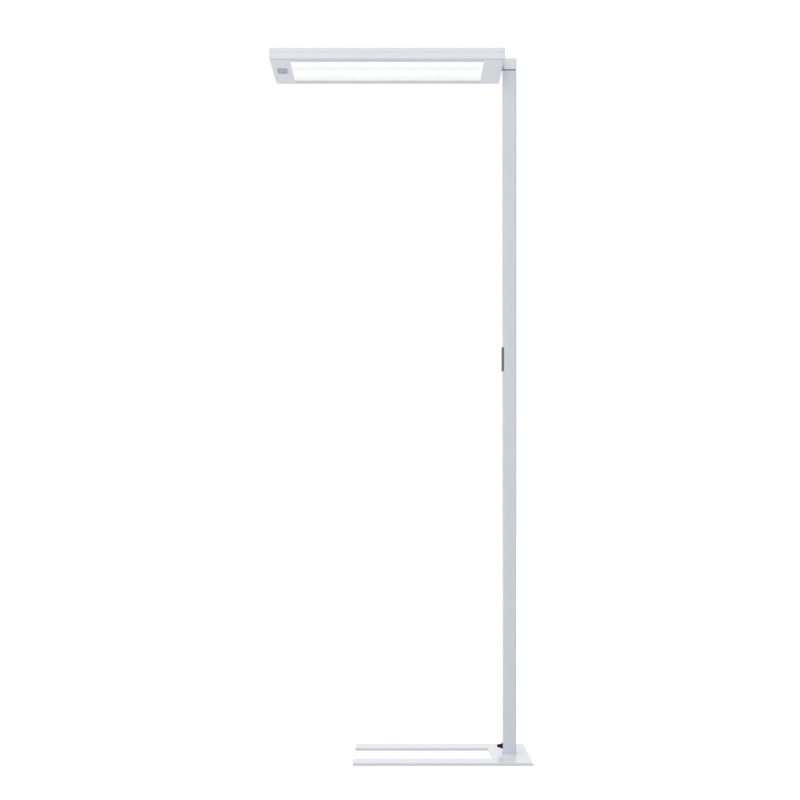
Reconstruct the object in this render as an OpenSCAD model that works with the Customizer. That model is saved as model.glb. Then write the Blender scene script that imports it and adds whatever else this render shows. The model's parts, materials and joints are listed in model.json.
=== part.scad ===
// Office floor lamp: a flat light head swivels on top of a square post, and the post stands
// on a U-shaped steel base. Millimetres, +Z up. The origin lies on the floor under the
// post's axis. The head and the base's arms both point along -X.

/* [Base] */
// Height of the head's top above the floor
total_h = 1950; // [1700:10:2200]
// Reach of the arms from the post's axis
base_reach = 435; // [380:5:500]
// Width of the plate under the post, from its outer edge to the cut-out
plate_w = 109; // [90:1:140]
// Width of the base over both arms
base_d = 388; // [340:2:440]
// Width of each arm
arm_w = 93; // [70:1:110]
// Thickness of the steel plate
plate_t = 7; // [5:0.5:12]
// Radius of the plate's outer corners
plate_r = 2.5; // [1:0.5:10]
// Radius of the cut-out's inner corners
cutout_r = 4; // [1:0.5:12]
// Width of the rounded heel along the plate's right edge
heel_w = 12; // [4:1:20]
// Thickness that the plate keeps at its right edge
heel_edge_t = 2.5; // [1:0.5:4]
// Thickness of the floor pads
pad_t = 1; // [0.5:0.5:3]
// Diameter of the four floor pads
pad_d = 30; // [20:1:40]
// Distance of a floor pad's centre from the plate's edges
pad_inset = 25; // [21:1:40]
// Side of the square pad under the post
centre_pad_w = 64; // [50:1:80]

/* [Post] */
// Side of the square post
post_w = 37; // [35:1:45]
// Wall of the post
post_wall = 2; // [1.5:0.25:2.5]
// Radius of the post's outer corners
post_r = 5; // [3.5:0.5:6]
// Height of the insert in the post's foot
foot_h = 10; // [8:1:13]
// Gap between the post's wall and what is fitted in it
insert_gap = 0.1; // [0.05:0.05:0.3]
// Thread diameter of the base screws
base_screw_d = 6; // [4:0.5:6.5]
// Distance between the base screws
base_screw_pitch = 18; // [16:1:20]
// Length of thread that a base screw has in the insert
base_screw_bite = 8; // [5:1:8]

/* [Cable gland] */
// Height of the gland's axis above the plate
gland_up = 20.5; // [20:0.5:40]
// Bore for the mains lead
gland_bore = 6; // [5:0.5:7]
// Diameter of the gland's collar at the post
gland_d = 17; // [14:0.5:20]
// Diameter of the gland's tip
gland_tip_d = 7.8; // [7.4:0.2:12]
// Length of the gland outside the post
gland_l = 15.5; // [10:0.5:30]
// Thickness of the gland's collar
gland_collar_t = 2; // [1:0.5:4]
// Diameter of the gland's threaded shank
gland_shank_d = 12; // [10.5:0.5:12.5]
// Length of the shank behind the post's wall
gland_shank_l = 7; // [6:1:10]
// Width across flats of the gland nut
gland_nut_w = 15; // [15:0.5:17]
// Thickness of the gland nut
gland_nut_t = 4; // [3:0.5:5]

/* [Wiring] */
// Diameter of the lead through the post
lead_d = 6; // [5:0.5:6.5]
// Sideways step of the lead where it passes the controls
lead_step = 8; // [7:0.5:9]
// Diameter of the thin leads
wire_d = 3; // [2:0.5:4]
// Length of the terminal in the post's foot
terminal_h = 30; // [20:1:45]
// Side of the terminal in the post's foot
terminal_w = 14; // [12:0.5:14]
// Gap between the gland and the terminal above it
terminal_gap = 20; // [12:1:40]
// Thickness of the terminal's bracket
bracket_t = 1.5; // [1:0.25:2]
// Length of the splice on the lead
splice_h = 24; // [16:1:40]

/* [Controls] */
// Height of the control strip's middle above the floor
panel_z = 1112; // [900:1:1250]
// Length of the control strip
panel_h = 66; // [65:1:80]
// How far the strip stands out of the post
panel_t = 2.5; // [2:0.25:4]
// How far the strip reaches round the post's corners
panel_wrap = 2.5; // [0.5:0.25:3.5]
// Radius of the strip's long edges
panel_r = 1.5; // [0.5:0.25:1.75]
// Overlap of the strip's ends over the post's cut-out
panel_lap = 1.7; // [1.2:0.1:2]
// Width of the housing behind the strip
housing_w = 25; // [24:0.5:27]
// Depth of the housing behind the post's face
panel_depth = 8; // [7:0.5:9]
// Wall of the control housing
panel_wall = 1.5; // [1:0.25:2]
// Width of a key
key_w = 17; // [12:0.5:18]
// Height of a key
key_h = 14.6; // [12:0.2:15]
// Distance between the keys
key_pitch = 19; // [18:0.5:20]
// How far a key stands out of the strip
key_proud = 0.5; // [0.2:0.1:1.5]
// Travel of a key
key_travel = 0.6; // [0.3:0.1:0.8]
// Gap round a key
key_gap = 0.35; // [0.2:0.05:0.5]
// Width of the rim that keeps a key in
key_rim = 1.2; // [0.8:0.1:1.4]
// Thickness of the control board
board_t = 1.6; // [1:0.2:2]

/* [Swivel] */
// Height of the gap between the post and the neck
swivel_gap = 4; // [2:0.5:5]
// Diameter of the ring in that gap
ring_d = 34.6; // [33:0.2:35]
// Swing of the head to each side, degrees
swivel_range = 90; // [45:5:120]
// Diameter of the spigot
spigot_d = 20; // [18:0.5:20.5]
// Bore of the spigot for the lead
spigot_bore = 12; // [10:0.5:13]
// Diameter of the spigot's flange
spigot_flange_d = 27; // [25:0.5:28]
// Thickness of the spigot's flange
spigot_flange_t = 2.5; // [2:0.5:3]
// Radial running clearance of the spigot
spigot_fit = 0.05; // [0.02:0.01:0.1]
// Play between faces that turn on each other
swivel_play = 0.1; // [0.05:0.05:0.2]
// Height of the bush in the post's top
bush_h = 40; // [30:1:60]
// Diameter of the bush screws
bush_screw_d = 4; // [3:0.5:4]
// Thickness of the wave washer
washer_t = 1.5; // [1:0.5:3]
// Diameter of the spigot nut
nut_d = 28; // [26:0.5:29]
// Height of the spigot nut
nut_h = 8; // [6:1:12]
// Diameter of the stop pin
stop_pin_d = 3; // [2:0.25:3]
// Distance of the stop pin from the swivel's axis
stop_pin_r = 13.6; // [13.2:0.1:13.8]
// Depth of the stop pin's groove in the bush
stop_groove = 4; // [3:0.5:8]

/* [Neck] */
// Wall of the neck block
neck_wall = 3.5; // [3:0.5:4]
// Height of the neck's underside above the head's underside
neck_rise = 2.5; // [0:0.5:3]
// Height of the neck's top above the head's top
neck_over = 2.5; // [0:0.5:5]
// Thickness of the neck block's floor
neck_floor_t = 4; // [3:0.5:5]
// Thickness of the neck's cap
neck_cap_t = 2; // [1.5:0.5:3]
// Gap between the post and the head's side
head_gap = 2.5; // [1.5:0.5:6]
// Width of the spacer in that gap
spacer_w = 31; // [29:0.5:31]
// Height of the spacer in that gap
spacer_h = 15; // [12:0.5:16]
// Diameter of the neck screws
neck_screw_d = 4; // [3:0.5:4]
// Distance between the neck screws
neck_screw_pitch = 21; // [18:0.5:21]
// Gap between the spigot's flange and the lead above it
lead_gap = 0.5; // [0:0.25:1.5]
// Radius of the lead's bend in the neck
lead_bend = 7; // [6:0.5:7.5]

/* [Head] */
// Length of the head
head_l = 642; // [560:1:800]
// Width of the head
head_w = 295; // [240:1:340]
// Height of the head
head_h = 30; // [29:0.5:40]
// Sheet thickness of the head's shells
shell_t = 1; // [0.8:0.1:1.2]
// Radius of the head's corners
shell_r = 3; // [2:0.5:6]
// Width of the closed bands at the head's ends
end_band = 56; // [52:1:70]
// Width of the closed bands along the head's sides
side_band = 37; // [32:1:50]
// Depth of the diffuser above the head's underside
recess = 11; // [6:0.5:12]
// Distance of the parting line below the head's top
seam_drop = 12; // [11:0.5:14]
// Height of the shadow gap at the parting line
seam_gap = 0.6; // [0.3:0.1:1.5]
// Height of the tongue that closes the shadow gap
tongue_h = 5; // [3:0.5:6]
// Gap between the tongue and the lower shell
tongue_gap = 0.1; // [0.05:0.05:0.3]
// Distance of the screw bosses from the head's outside
boss_inset = 10; // [9:0.5:11]
// Diameter of the bosses and spacers
boss_d = 7; // [6:0.5:8]
// Diameter of the shell screws
shell_screw_d = 3; // [2.5:0.5:3.5]
// Length of the shell screws
shell_screw_l = 24; // [14:1:24]
// Thickness of the anchor plate behind the head's end wall
anchor_t = 5; // [4:0.5:6]
// Width of the anchor plate
anchor_w = 90; // [60:1:120]

/* [Light] */
// Thickness of the diffuser panels
diffuser_t = 2.5; // [2:0.5:4]
// Overlap of the diffuser over the window's lips
diffuser_lap = 6; // [4:0.5:8]
// Width of the rib between the diffuser panels
rib_w = 6; // [4:0.5:10]
// Height of the rib's lower edge above the head's underside
rib_up = 2.5; // [0:0.5:5]
// Thickness of the rib's web and upper flange
rib_t = 1; // [0.8:0.1:1.5]
// Height of the mixing space above the diffuser
mixing_h = 7.5; // [6:0.5:9]
// Thickness of the gear tray
tray_t = 1.2; // [1:0.1:1.5]
// Gap between the gear tray and the head's walls
tray_gap = 1.5; // [1:0.5:2]
// Width of an LED board
led_board_w = 24; // [14:1:40]
// Thickness of an LED board
led_board_t = 1.2; // [1:0.2:1.6]
// Distance of an LED board's end from the window's end
led_board_inset = 12; // [5:1:40]
// Side of an LED
led_w = 3; // [2:0.5:4]
// Height of an LED
led_h = 0.8; // [0.5:0.1:1.2]
// Number of LEDs on each board
led_count = 14; // [6:1:24]
// Length of the uplight's opening
uplight_l = 470; // [300:5:500]
// Width of the uplight's opening
uplight_w = 150; // [100:2:200]
// Thickness of the uplight's cover
uplight_t = 2; // [1.5:0.5:3]
// Overlap of the uplight's cover under the top sheet
uplight_lap = 6; // [4:1:10]

/* [Gear] */
// Width of the driver and the control module
gear_w = 38; // [24:1:40]
// Height of the driver
driver_h = 14; // [10:0.5:15]
// Length of the driver
driver_l = 96; // [60:1:98]
// Height of the control module
module_h = 12; // [8:0.5:15]
// Length of the control module
module_l = 56; // [40:1:80]
// Distance of the gear from the head's middle line
gear_off = 24; // [22:1:30]
// Length of the head terminal
head_terminal_l = 20; // [14:1:24]
// Width of the head terminal
head_terminal_w = 26; // [16:1:28]
// Height of the head terminal
head_terminal_h = 12; // [10:0.5:13]

/* [Sensor] */
// Length of the sensor's bezel along the head
sensor_l = 29; // [28.5:0.5:38]
// Width of the sensor's bezel across the head
sensor_w = 58; // [40:1:64]
// Distance of the sensor's middle from the head's middle line, towards the front
sensor_off = 6; // [0:1:12]
// How far the bezel stands out of the head
sensor_t = 1.5; // [1:0.25:3]
// Overlap of the bezel over its hole
sensor_lap = 2; // [1:0.5:3]
// Corner radius of the bezel
sensor_r = 8; // [5.5:0.5:12]
// Height of the sensor's housing inside the head
sensor_h = 10; // [7:0.5:12]
// Wall of the sensor's housing
sensor_wall = 1.5; // [1:0.25:2]
// Diameter of the round sensor lens
lens_d = 16; // [12:0.5:17]
// How far the lens stands out of the bezel
lens_h = 3.5; // [2:0.5:6]
// Length of the light sensor's window
eye_l = 5; // [3:0.5:6]
// Width of the light sensor's window
eye_w = 34; // [8:1:34]
// Distance between the lens and the light sensor's window
eye_gap = 1.5; // [1:0.25:2.5]

/* [Hidden] */
$fn = 64;

// Colours
WHITE = "#dfe2e6";
GREY = "#9aa0a6";
DARK = "#6f747a";
BLACK = "#15181a";
STEEL = "#b4b8bc";
BRASS = "#c8a860";
GREEN = "#2f6b47";
OPAL = "#fbfcfc";
CLEAR = "#dcecf2";

// A cutting tool runs past the face it opens by this much
over = 1;

// The ball at a lead's bend is this much thicker than the lead, so that the two fuse cleanly
ball_over = 0.02;

// Base: heights and edges
plate_z = pad_t;
plate_top = plate_z + plate_t;
plate_x1 = plate_w / 2;
cutout_x = -plate_w / 2;
cutout_w = base_d - 2 * arm_w;
heel_steps = 10;

// Post
post_inner = post_w - 2 * post_wall;
post_inner_r = max(post_r - post_wall, 0.5);
insert_w = post_inner - 2 * insert_gap;
insert_r = post_inner_r;
head_z = total_h - head_h;
neck_z = head_z + neck_rise;
neck_top = total_h + neck_over;
post_top = neck_z - swivel_gap;
post_face = -post_w / 2;

// Cable gland and the terminal above it
gland_z = plate_top + gland_up;
gland_back = post_wall + gland_shank_l;
terminal_z = gland_z + terminal_gap;
terminal_top = terminal_z + terminal_h;
bracket_y = post_inner / 2 - insert_gap - bracket_t;
terminal_y = bracket_y - terminal_w / 2;

// Route of the lead through the post: it steps onto the post's axis above the terminal and
// aside where it passes the controls, each time at 45 degrees. It meets the head's lead at the
// post's top, on the swivel's axis.
lead_low_z = terminal_top + 60;
lead_clear = 120;
lead_aside_z = panel_z - lead_clear;
lead_back_z = panel_z + lead_clear;
post_route = [
    [0, terminal_y, terminal_top],
    [0, terminal_y, lead_low_z],
    [0, 0, lead_low_z + terminal_y],
    [0, 0, lead_aside_z - lead_step],
    [lead_step, 0, lead_aside_z],
    [lead_step, 0, lead_back_z],
    [0, 0, lead_back_z + lead_step],
    [0, 0, post_top]
];

// Control strip, from its front face inwards along +X
panel_front = post_face - panel_t;
panel_front_wall = min(panel_t - 0.5, 2);
housing_h = panel_h - 2 * panel_lap;
panel_fit = 0.2;
pocket_x = panel_front + panel_front_wall;
pocket_w = housing_w - 2 * panel_wall;
pocket_h = housing_h - 2 * panel_wall;
panel_back = post_face + panel_depth;
key_rest_gap = 0.05;
key_rim_x = pocket_x + key_rest_gap;
key_rim_t = 1.2;
key_back = key_rim_x + key_rim_t;
board_x = panel_back - board_t;
switch_w = 6;
switch_gap = key_travel + 0.1;
switch_x = key_back + switch_gap;
plunger_l = 0.8;
plunger_d = 3.4;
key_r = 1.5;
mark_depth = 0.2;
mark_t = 0.9;
mark_w = 5;
connector_l = 6;
connector_t = 4;
connector_w = 10;
connector_z = panel_z - panel_h / 4;
connector_x = panel_back + connector_t / 2;

// Splice on the lead, below the controls
splice_z = lead_aside_z + 30;
splice_top = splice_z + splice_h;
splice_wall = 2;
splice_x0 = lead_step - lead_d / 2 - wire_d - 2 * splice_wall;
splice_x1 = lead_step + lead_d / 2 + splice_wall;
splice_w = lead_d + 2 * splice_wall;
splice_wire_x = splice_x0 + splice_wall + wire_d / 2;
wire_turn_z = splice_top + 8;
control_route = [
    [splice_wire_x, 0, splice_top],
    [splice_wire_x, 0, wire_turn_z],
    [connector_x, 0, wire_turn_z + splice_wire_x - connector_x],
    [connector_x, 0, connector_z - connector_l / 2]
];

// Swivel
ring_t = swivel_gap - swivel_play;
spigot_r = spigot_d / 2;
bush_bore_r = spigot_r + spigot_fit;
bush_z = post_top - bush_h;
bush_screw_z = post_top - bush_h / 2;
bush_screw_l = post_wall + (post_inner / 2 - bush_bore_r) * 0.7;
flange_z = neck_z + neck_floor_t;
washer_z = bush_z - swivel_play - washer_t;
nut_z = washer_z - nut_h;
thread_over = 2;
spigot_z = nut_z - thread_over;
stop_half = swivel_range + asin((stop_pin_d / 2 + swivel_play) / stop_pin_r);
stop_slot_w = stop_pin_d + 4 * swivel_play;
stop_pin_z = post_top - stop_groove + swivel_play + spigot_fit;
nut_slot_w = 4;
nut_slot_d = 2.5;

// Neck and the spacer between the neck and the head
neck_inner = post_w - 2 * neck_wall;
neck_inner_r = max(post_r - neck_wall, 1);
cap_lap = 1;
lead_z = flange_z + spigot_flange_t + lead_gap + lead_d / 2;
lead_hole_d = lead_d + 2;
spacer_z = lead_z - spacer_h / 2;
neck_screw_head_t = neck_screw_d / 2;

// Head
head_x1 = post_face - head_gap;
head_x0 = head_x1 - head_l;
head_cx = (head_x0 + head_x1) / 2;
seam_z = total_h - seam_drop;
win_l = head_l - 2 * end_band;
win_w = head_w - 2 * side_band;
top_sheet_z = total_h - shell_t;
floor_z = head_z + shell_t;
end_wall_x = head_x1 - shell_t;
diffuser_z = head_z + recess;
diffuser_top = diffuser_z + diffuser_t;
tray_z = diffuser_top + mixing_h;
tray_top = tray_z + tray_t;
tray_l = head_l - 2 * shell_t - 2 * tray_gap;
tray_w = head_w - 2 * shell_t - 2 * tray_gap;
boss_places = [
    for (sx = [-1, 0, 1], sy = [-1, 1])
        [head_cx + sx * (head_l / 2 - boss_inset), sy * (head_w / 2 - boss_inset)]
];
tongue_clear = shell_r + boss_inset;
tongue_out = head_w / 2 - shell_t - tongue_gap;
tongue_end = head_x0 + shell_t + tongue_gap;
root_h = 3;
anchor_h = tray_z - floor_z;

// Optics
optic_l = win_l + 2 * diffuser_lap;
optic_w = win_w + 2 * diffuser_lap;
panel_half_w = (optic_w - rib_t) / 2;
rib_end_gap = 0.3;
rib_drop = diffuser_z - head_z - rib_up;
led_board_l = win_l - 2 * led_board_inset;
led_row_y = win_w / 4;
up_board_l = uplight_l - 2 * led_board_inset;
up_row_y = uplight_w / 4;

// Gear in the band between the window and the neck
gear_x = head_x1 - end_band / 2 - 1;
head_terminal_x = end_wall_x - anchor_t - 4 - head_terminal_l / 2;
head_lead_end = head_terminal_x + head_terminal_l / 2;

// Sensor in the band at the head's free end
sensor_x = head_x0 + end_band / 2;
sensor_y = -sensor_off;
sensor_body_l = sensor_l - 2 * sensor_lap;
sensor_body_w = sensor_w - 2 * sensor_lap;
sensor_body_r = sensor_r - sensor_lap;
sensor_fit = 0.2;
sensor_z0 = head_z - sensor_t;
sensor_top = floor_z + sensor_h;
face_l = eye_l + eye_gap + lens_d;
lens_x = sensor_x + face_l / 2 - lens_d / 2;
eye_x = sensor_x - face_l / 2 + eye_l / 2;
lens_flange = 1;
lens_ball_r = (pow(lens_d / 2, 2) + pow(lens_h, 2)) / (2 * lens_h);
sensor_wire_z = sensor_top + board_t / 2;
sensor_wire_y = -(win_w / 2 + diffuser_lap + boss_d);
sensor_route = [
    [sensor_x, sensor_y - sensor_body_w / 2, sensor_wire_z],
    [sensor_x, sensor_wire_y, sensor_wire_z],
    [gear_x, sensor_wire_y, sensor_wire_z],
    [gear_x, -gear_off - module_l, sensor_wire_z]
];

// ---- Shapes that repeat ----

// Outline of a rectangle with round corners, centred
module round_rect(l, w, r) {
    square([l - 2 * r, w], center = true);
    square([l, w - 2 * r], center = true);
    for (sx = [-1, 1], sy = [-1, 1])
        translate([sx * (l / 2 - r), sy * (w / 2 - r)])
            circle(r);
}

// Block with round upright edges, standing on z = 0
module round_block(l, w, h, r) {
    linear_extrude(h)
        round_rect(l, w, r);
}

// Block centred in X and Y, standing on z = 0
module block(l, w, h) {
    translate([-l / 2, -w / 2, 0])
        cube([l, w, h]);
}

// Countersunk screw with its flat head at z = 0 and its shank along -Z
module sunk_screw(d, l) {
    difference() {
        union() {
            translate([0, 0, -l])
                cylinder(h = l, d = d);
            sunk_head(d);
        }
        translate([0, 0, -d / 2])
            cylinder(h = d, d = d * 0.66, $fn = 6);
    }
}

// Cone of a countersunk head, also used to cut its seat
module sunk_head(d) {
    translate([0, 0, -d / 2])
        cylinder(h = d / 2, d1 = d, d2 = 2 * d);
}

// Hole for a countersunk screw whose head is at z = 0
module sunk_hole(d, l) {
    translate([0, 0, -l])
        cylinder(h = l + over, d = d);
    sunk_head(d);
}

// Round lead along a list of points
module lead(route, d) {
    for (i = [0 : len(route) - 2])
        segment(route[i], route[i + 1], d);
    for (i = [1 : len(route) - 2])
        translate(route[i])
            sphere(d = d + ball_over, $fn = 32);
}

// Straight stretch of a lead between two points
module segment(a, b, d) {
    v = b - a;
    translate(a)
        rotate([0, acos(v[2] / norm(v)), atan2(v[1], v[0])])
            cylinder(h = norm(v), d = d, $fn = 32);
}

// Four corners of a square of the given side
module at_corners(side) {
    for (sx = [-1, 1], sy = [-1, 1])
        translate([sx * side / 2, sy * side / 2, 0])
            children();
}

// Children at each boss of the head
module at_bosses() {
    for (p = boss_places)
        translate([p[0], p[1], 0])
            children();
}

// Children turned so that their +Z points along -X, away from the post's left face
module facing_left() {
    rotate([0, -90, 0])
        children();
}

// Arc groove for the stop pin, open from z to z + h, on the side away from the head
module stop_arc(z, h) {
    translate([0, 0, z])
        rotate([0, 0, -stop_half])
            rotate_extrude(angle = 2 * stop_half)
                translate([stop_pin_r - stop_slot_w / 2, 0])
                    square([stop_slot_w, h]);
}

// ---- Base ----

module base_plate() {
    color(WHITE)
        difference() {
            translate([0, 0, plate_z])
                linear_extrude(plate_t)
                    base_outline();
            heel_cut();
            translate([0, 0, plate_z])
                at_corners(base_screw_pitch)
                    mirror([0, 0, 1])
                        sunk_hole(base_screw_d, plate_t + over);
        }
}

// Space above the heel: a quarter of an ellipse, drawn in X and Z and swept across the base
module heel_cut() {
    drop = plate_t - heel_edge_t;
    curve = [
        for (i = [0 : heel_steps])
            let (a = 90 * i / heel_steps)
                [plate_x1 - heel_w * (1 - sin(a)), plate_top - drop * (1 - cos(a))]
    ];
    corner = [[plate_x1 + over, plate_top - drop], [plate_x1 + over, plate_top + over],
              [plate_x1 - heel_w, plate_top + over]];
    translate([0, base_d / 2 + over, 0])
        rotate([90, 0, 0])
            linear_extrude(base_d + 2 * over)
                polygon(concat(curve, corner));
}

// U-shaped outline: a rounded rectangle with a cut-out that is open to the left
module base_outline() {
    outline_l = base_reach + plate_x1;
    difference() {
        translate([plate_x1 - outline_l / 2, 0])
            round_rect(outline_l, base_d, plate_r);
        translate([cutout_x - base_reach, 0])
            round_rect(2 * base_reach, cutout_w, cutout_r);
    }
}

module centre_pad() {
    color(BLACK)
        round_block(centre_pad_w, centre_pad_w, pad_t, plate_r);
}

module floor_pads() {
    arm_y = base_d / 2 - pad_inset;
    color(BLACK)
        for (x = [-base_reach + pad_inset, plate_x1 - pad_inset], sy = [-1, 1])
            translate([x, sy * arm_y, 0])
                cylinder(h = pad_t, d = pad_d);
}

module base_screws() {
    color(STEEL)
        translate([0, 0, plate_z])
            at_corners(base_screw_pitch)
                mirror([0, 0, 1])
                    sunk_screw(base_screw_d, plate_t + base_screw_bite);
}

// ---- Post ----

module foot_insert() {
    color(STEEL)
        translate([0, 0, plate_top])
            difference() {
                round_block(insert_w, insert_w, foot_h, insert_r);
                translate([0, 0, -over])
                    at_corners(base_screw_pitch)
                        cylinder(h = foot_h + 2 * over, d = base_screw_d);
            }
}

module post_tube() {
    tube_h = post_top - plate_top;
    color(WHITE)
        difference() {
            translate([0, 0, plate_top])
                round_block(post_w, post_w, tube_h, post_r);
            translate([0, 0, plate_top - over])
                round_block(post_inner, post_inner, tube_h + 2 * over, post_inner_r);
            translate([post_face - over, 0, gland_z])
                rotate([0, 90, 0])
                    cylinder(h = post_wall + 2 * over, d = gland_shank_d);
            translate([post_face + post_wall + over, 0, panel_z])
                facing_left()
                    block(housing_h + 2 * panel_fit, housing_w + 2 * panel_fit,
                          post_wall + 2 * over);
            at_bush_screws()
                sunk_hole(bush_screw_d, post_wall + over);
        }
}

module cable_gland() {
    color(BLACK)
        translate([post_face, 0, gland_z])
            facing_left()
                difference() {
                    union() {
                        cylinder(h = gland_collar_t, d = gland_d);
                        translate([0, 0, gland_collar_t])
                            cylinder(h = gland_l - gland_collar_t, d1 = gland_d - 2,
                                     d2 = gland_tip_d);
                        translate([0, 0, -gland_back])
                            cylinder(h = gland_back, d = gland_shank_d);
                    }
                    translate([0, 0, -gland_back - over])
                        cylinder(h = gland_back + gland_l + 2 * over, d = gland_bore);
                }
}

module gland_nut() {
    color(BLACK)
        translate([post_face + post_wall, 0, gland_z])
            rotate([0, 90, 0])
                difference() {
                    cylinder(h = gland_nut_t, d = gland_nut_w / cos(30), $fn = 6);
                    translate([0, 0, -over])
                        cylinder(h = gland_nut_t + 2 * over, d = gland_shank_d, $fn = 64);
                }
}

// Upright strip along the post's rear wall, with a foot on the insert
module terminal_bracket() {
    foot_d = post_inner / 4;
    foot_z = plate_top + foot_h;
    color(STEEL) {
        translate([-terminal_w / 2, bracket_y, foot_z])
            cube([terminal_w, bracket_t, terminal_top - foot_z]);
        translate([-terminal_w / 2, bracket_y - foot_d, foot_z])
            cube([terminal_w, foot_d + bracket_t, bracket_t]);
    }
}

module mains_terminal() {
    screw_d = terminal_w / 3;
    color(OPAL)
        difference() {
            translate([0, terminal_y, terminal_z])
                block(terminal_w, terminal_w, terminal_h);
            for (i = [0 : 2])
                translate([0, terminal_y - terminal_w / 2 - over,
                           terminal_z + (i + 0.5) * terminal_h / 3])
                    rotate([-90, 0, 0])
                        cylinder(h = terminal_w / 4 + over, d = screw_d);
        }
}

module post_lead() {
    color(GREY)
        lead(post_route, lead_d);
}

module lead_splice() {
    color(BLACK)
        difference() {
            translate([(splice_x0 + splice_x1) / 2, 0, splice_z])
                block(splice_x1 - splice_x0, splice_w, splice_h);
            translate([lead_step, 0, splice_z - over])
                cylinder(h = splice_h + 2 * over, d = lead_d, $fn = 32);
        }
}

// ---- Controls ----

module control_housing() {
    color(DARK)
        difference() {
            union() {
                translate([0, 0, panel_z - panel_h / 2])
                    linear_extrude(panel_h)
                        strip_outline();
                translate([panel_back - board_t, 0, panel_z])
                    facing_left()
                        block(housing_h, housing_w, panel_depth - board_t + over / 2);
            }
            translate([panel_back + over, 0, panel_z])
                facing_left()
                    block(pocket_h, pocket_w, panel_back + over - pocket_x);
            for (i = [-1 : 1])
                translate([pocket_x + over, 0, panel_z + i * key_pitch])
                    facing_left()
                        round_block(key_h + 2 * key_gap, key_w + 2 * key_gap,
                                    panel_front_wall + 2 * over, key_r + key_gap);
        }
}

// Cross-section of the strip: it covers the post's left face and fits round its two corners
module strip_outline() {
    difference() {
        intersection() {
            round_rect(post_w + 2 * panel_t, post_w, panel_r);
            translate([panel_front, -post_w / 2])
                square([panel_t + panel_wrap, post_w]);
        }
        round_rect(post_w, post_w, post_r);
    }
}

// Board across the back of the housing
module control_board() {
    color(GREEN)
        translate([panel_back, 0, panel_z])
            facing_left()
                block(housing_h, housing_w, board_t);
}

module tact_switches() {
    color(BLACK)
        for (i = [-1 : 1])
            translate([board_x, 0, panel_z + i * key_pitch])
                facing_left() {
                    block(switch_w, switch_w, board_x - switch_x - plunger_l);
                    cylinder(h = board_x - switch_x, d = plunger_d);
                }
}

// Key number i counted upwards, -1 to 1, with a raised-edge cap and a rim that keeps it in
module key_body(i) {
    translate([key_back, 0, panel_z + i * key_pitch])
        facing_left() {
            round_block(key_h, key_w, key_back - panel_front + key_proud, key_r);
            round_block(key_h + 2 * key_rim, key_w + 2 * key_rim, key_rim_t, key_r);
        }
}

// A mark is sunk into the key's face: place it on key number i
module on_key_face(i) {
    translate([panel_front - key_proud + mark_depth, 0, panel_z + i * key_pitch])
        facing_left()
            children();
}

module bar_mark() {
    block(mark_t, mark_w, mark_depth + over);
}

module key_up() {
    color(DARK)
        difference() {
            key_body(1);
            on_key_face(1) {
                bar_mark();
                rotate([0, 0, 90])
                    bar_mark();
            }
        }
}

module key_power() {
    color(DARK)
        difference() {
            key_body(0);
            on_key_face(0)
                difference() {
                    cylinder(h = mark_depth + over, d = mark_w);
                    translate([0, 0, -over])
                        cylinder(h = mark_depth + 3 * over, d = mark_w - 2 * mark_t);
                }
        }
}

module key_down() {
    color(DARK)
        difference() {
            key_body(-1);
            on_key_face(-1)
                bar_mark();
        }
}

module lead_connector() {
    color(OPAL)
        translate([panel_back, -connector_w / 2, connector_z - connector_l / 2])
            cube([connector_t, connector_w, connector_l]);
}

module control_lead() {
    color(BLACK)
        lead(control_route, wire_d);
}

// ---- Swivel ----

// Children at the two bush screws, on the post's rear face, with +Z pointing outwards
module at_bush_screws() {
    for (dz = [-1, 1])
        translate([0, post_w / 2, bush_screw_z + dz * bush_h / 4])
            rotate([-90, 0, 0])
                children();
}

module swivel_bush() {
    color(STEEL)
        difference() {
            translate([0, 0, bush_z])
                round_block(insert_w, insert_w, bush_h, insert_r);
            translate([0, 0, bush_z - over])
                cylinder(h = bush_h + 2 * over, r = bush_bore_r);
            stop_arc(post_top - stop_groove, stop_groove + over);
            at_bush_screws()
                sunk_hole(bush_screw_d, bush_screw_l);
        }
}

module bush_screws() {
    color(STEEL)
        at_bush_screws()
            sunk_screw(bush_screw_d, bush_screw_l);
}

module bearing_ring() {
    color(DARK)
        difference() {
            translate([0, 0, post_top])
                cylinder(h = ring_t, d = ring_d);
            translate([0, 0, post_top - over])
                cylinder(h = ring_t + 2 * over, r = bush_bore_r);
            stop_arc(post_top - over, ring_t + 2 * over);
        }
}

module swivel_spigot() {
    color(STEEL)
        difference() {
            union() {
                translate([0, 0, spigot_z])
                    cylinder(h = flange_z - spigot_z, r = spigot_r);
                translate([0, 0, flange_z])
                    cylinder(h = spigot_flange_t, d = spigot_flange_d);
            }
            translate([0, 0, spigot_z - over])
                cylinder(h = flange_z + spigot_flange_t - spigot_z + 2 * over, d = spigot_bore);
        }
}

module wave_washer() {
    color(STEEL)
        translate([0, 0, washer_z])
            difference() {
                cylinder(h = washer_t, d = spigot_flange_d);
                translate([0, 0, -over])
                    cylinder(h = washer_t + 2 * over, d = spigot_d);
            }
}

module spigot_nut() {
    color(STEEL)
        translate([0, 0, nut_z])
            difference() {
                cylinder(h = nut_h, d = nut_d);
                translate([0, 0, -over])
                    cylinder(h = nut_h + 2 * over, d = spigot_d);
                for (a = [0, 90])
                    rotate([0, 0, a])
                        block(nut_d + over, nut_slot_w, nut_slot_d);
            }
}

module stop_pin() {
    color(STEEL)
        translate([stop_pin_r, 0, stop_pin_z])
            cylinder(h = flange_z - stop_pin_z, d = stop_pin_d);
}

// ---- Neck ----

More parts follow.
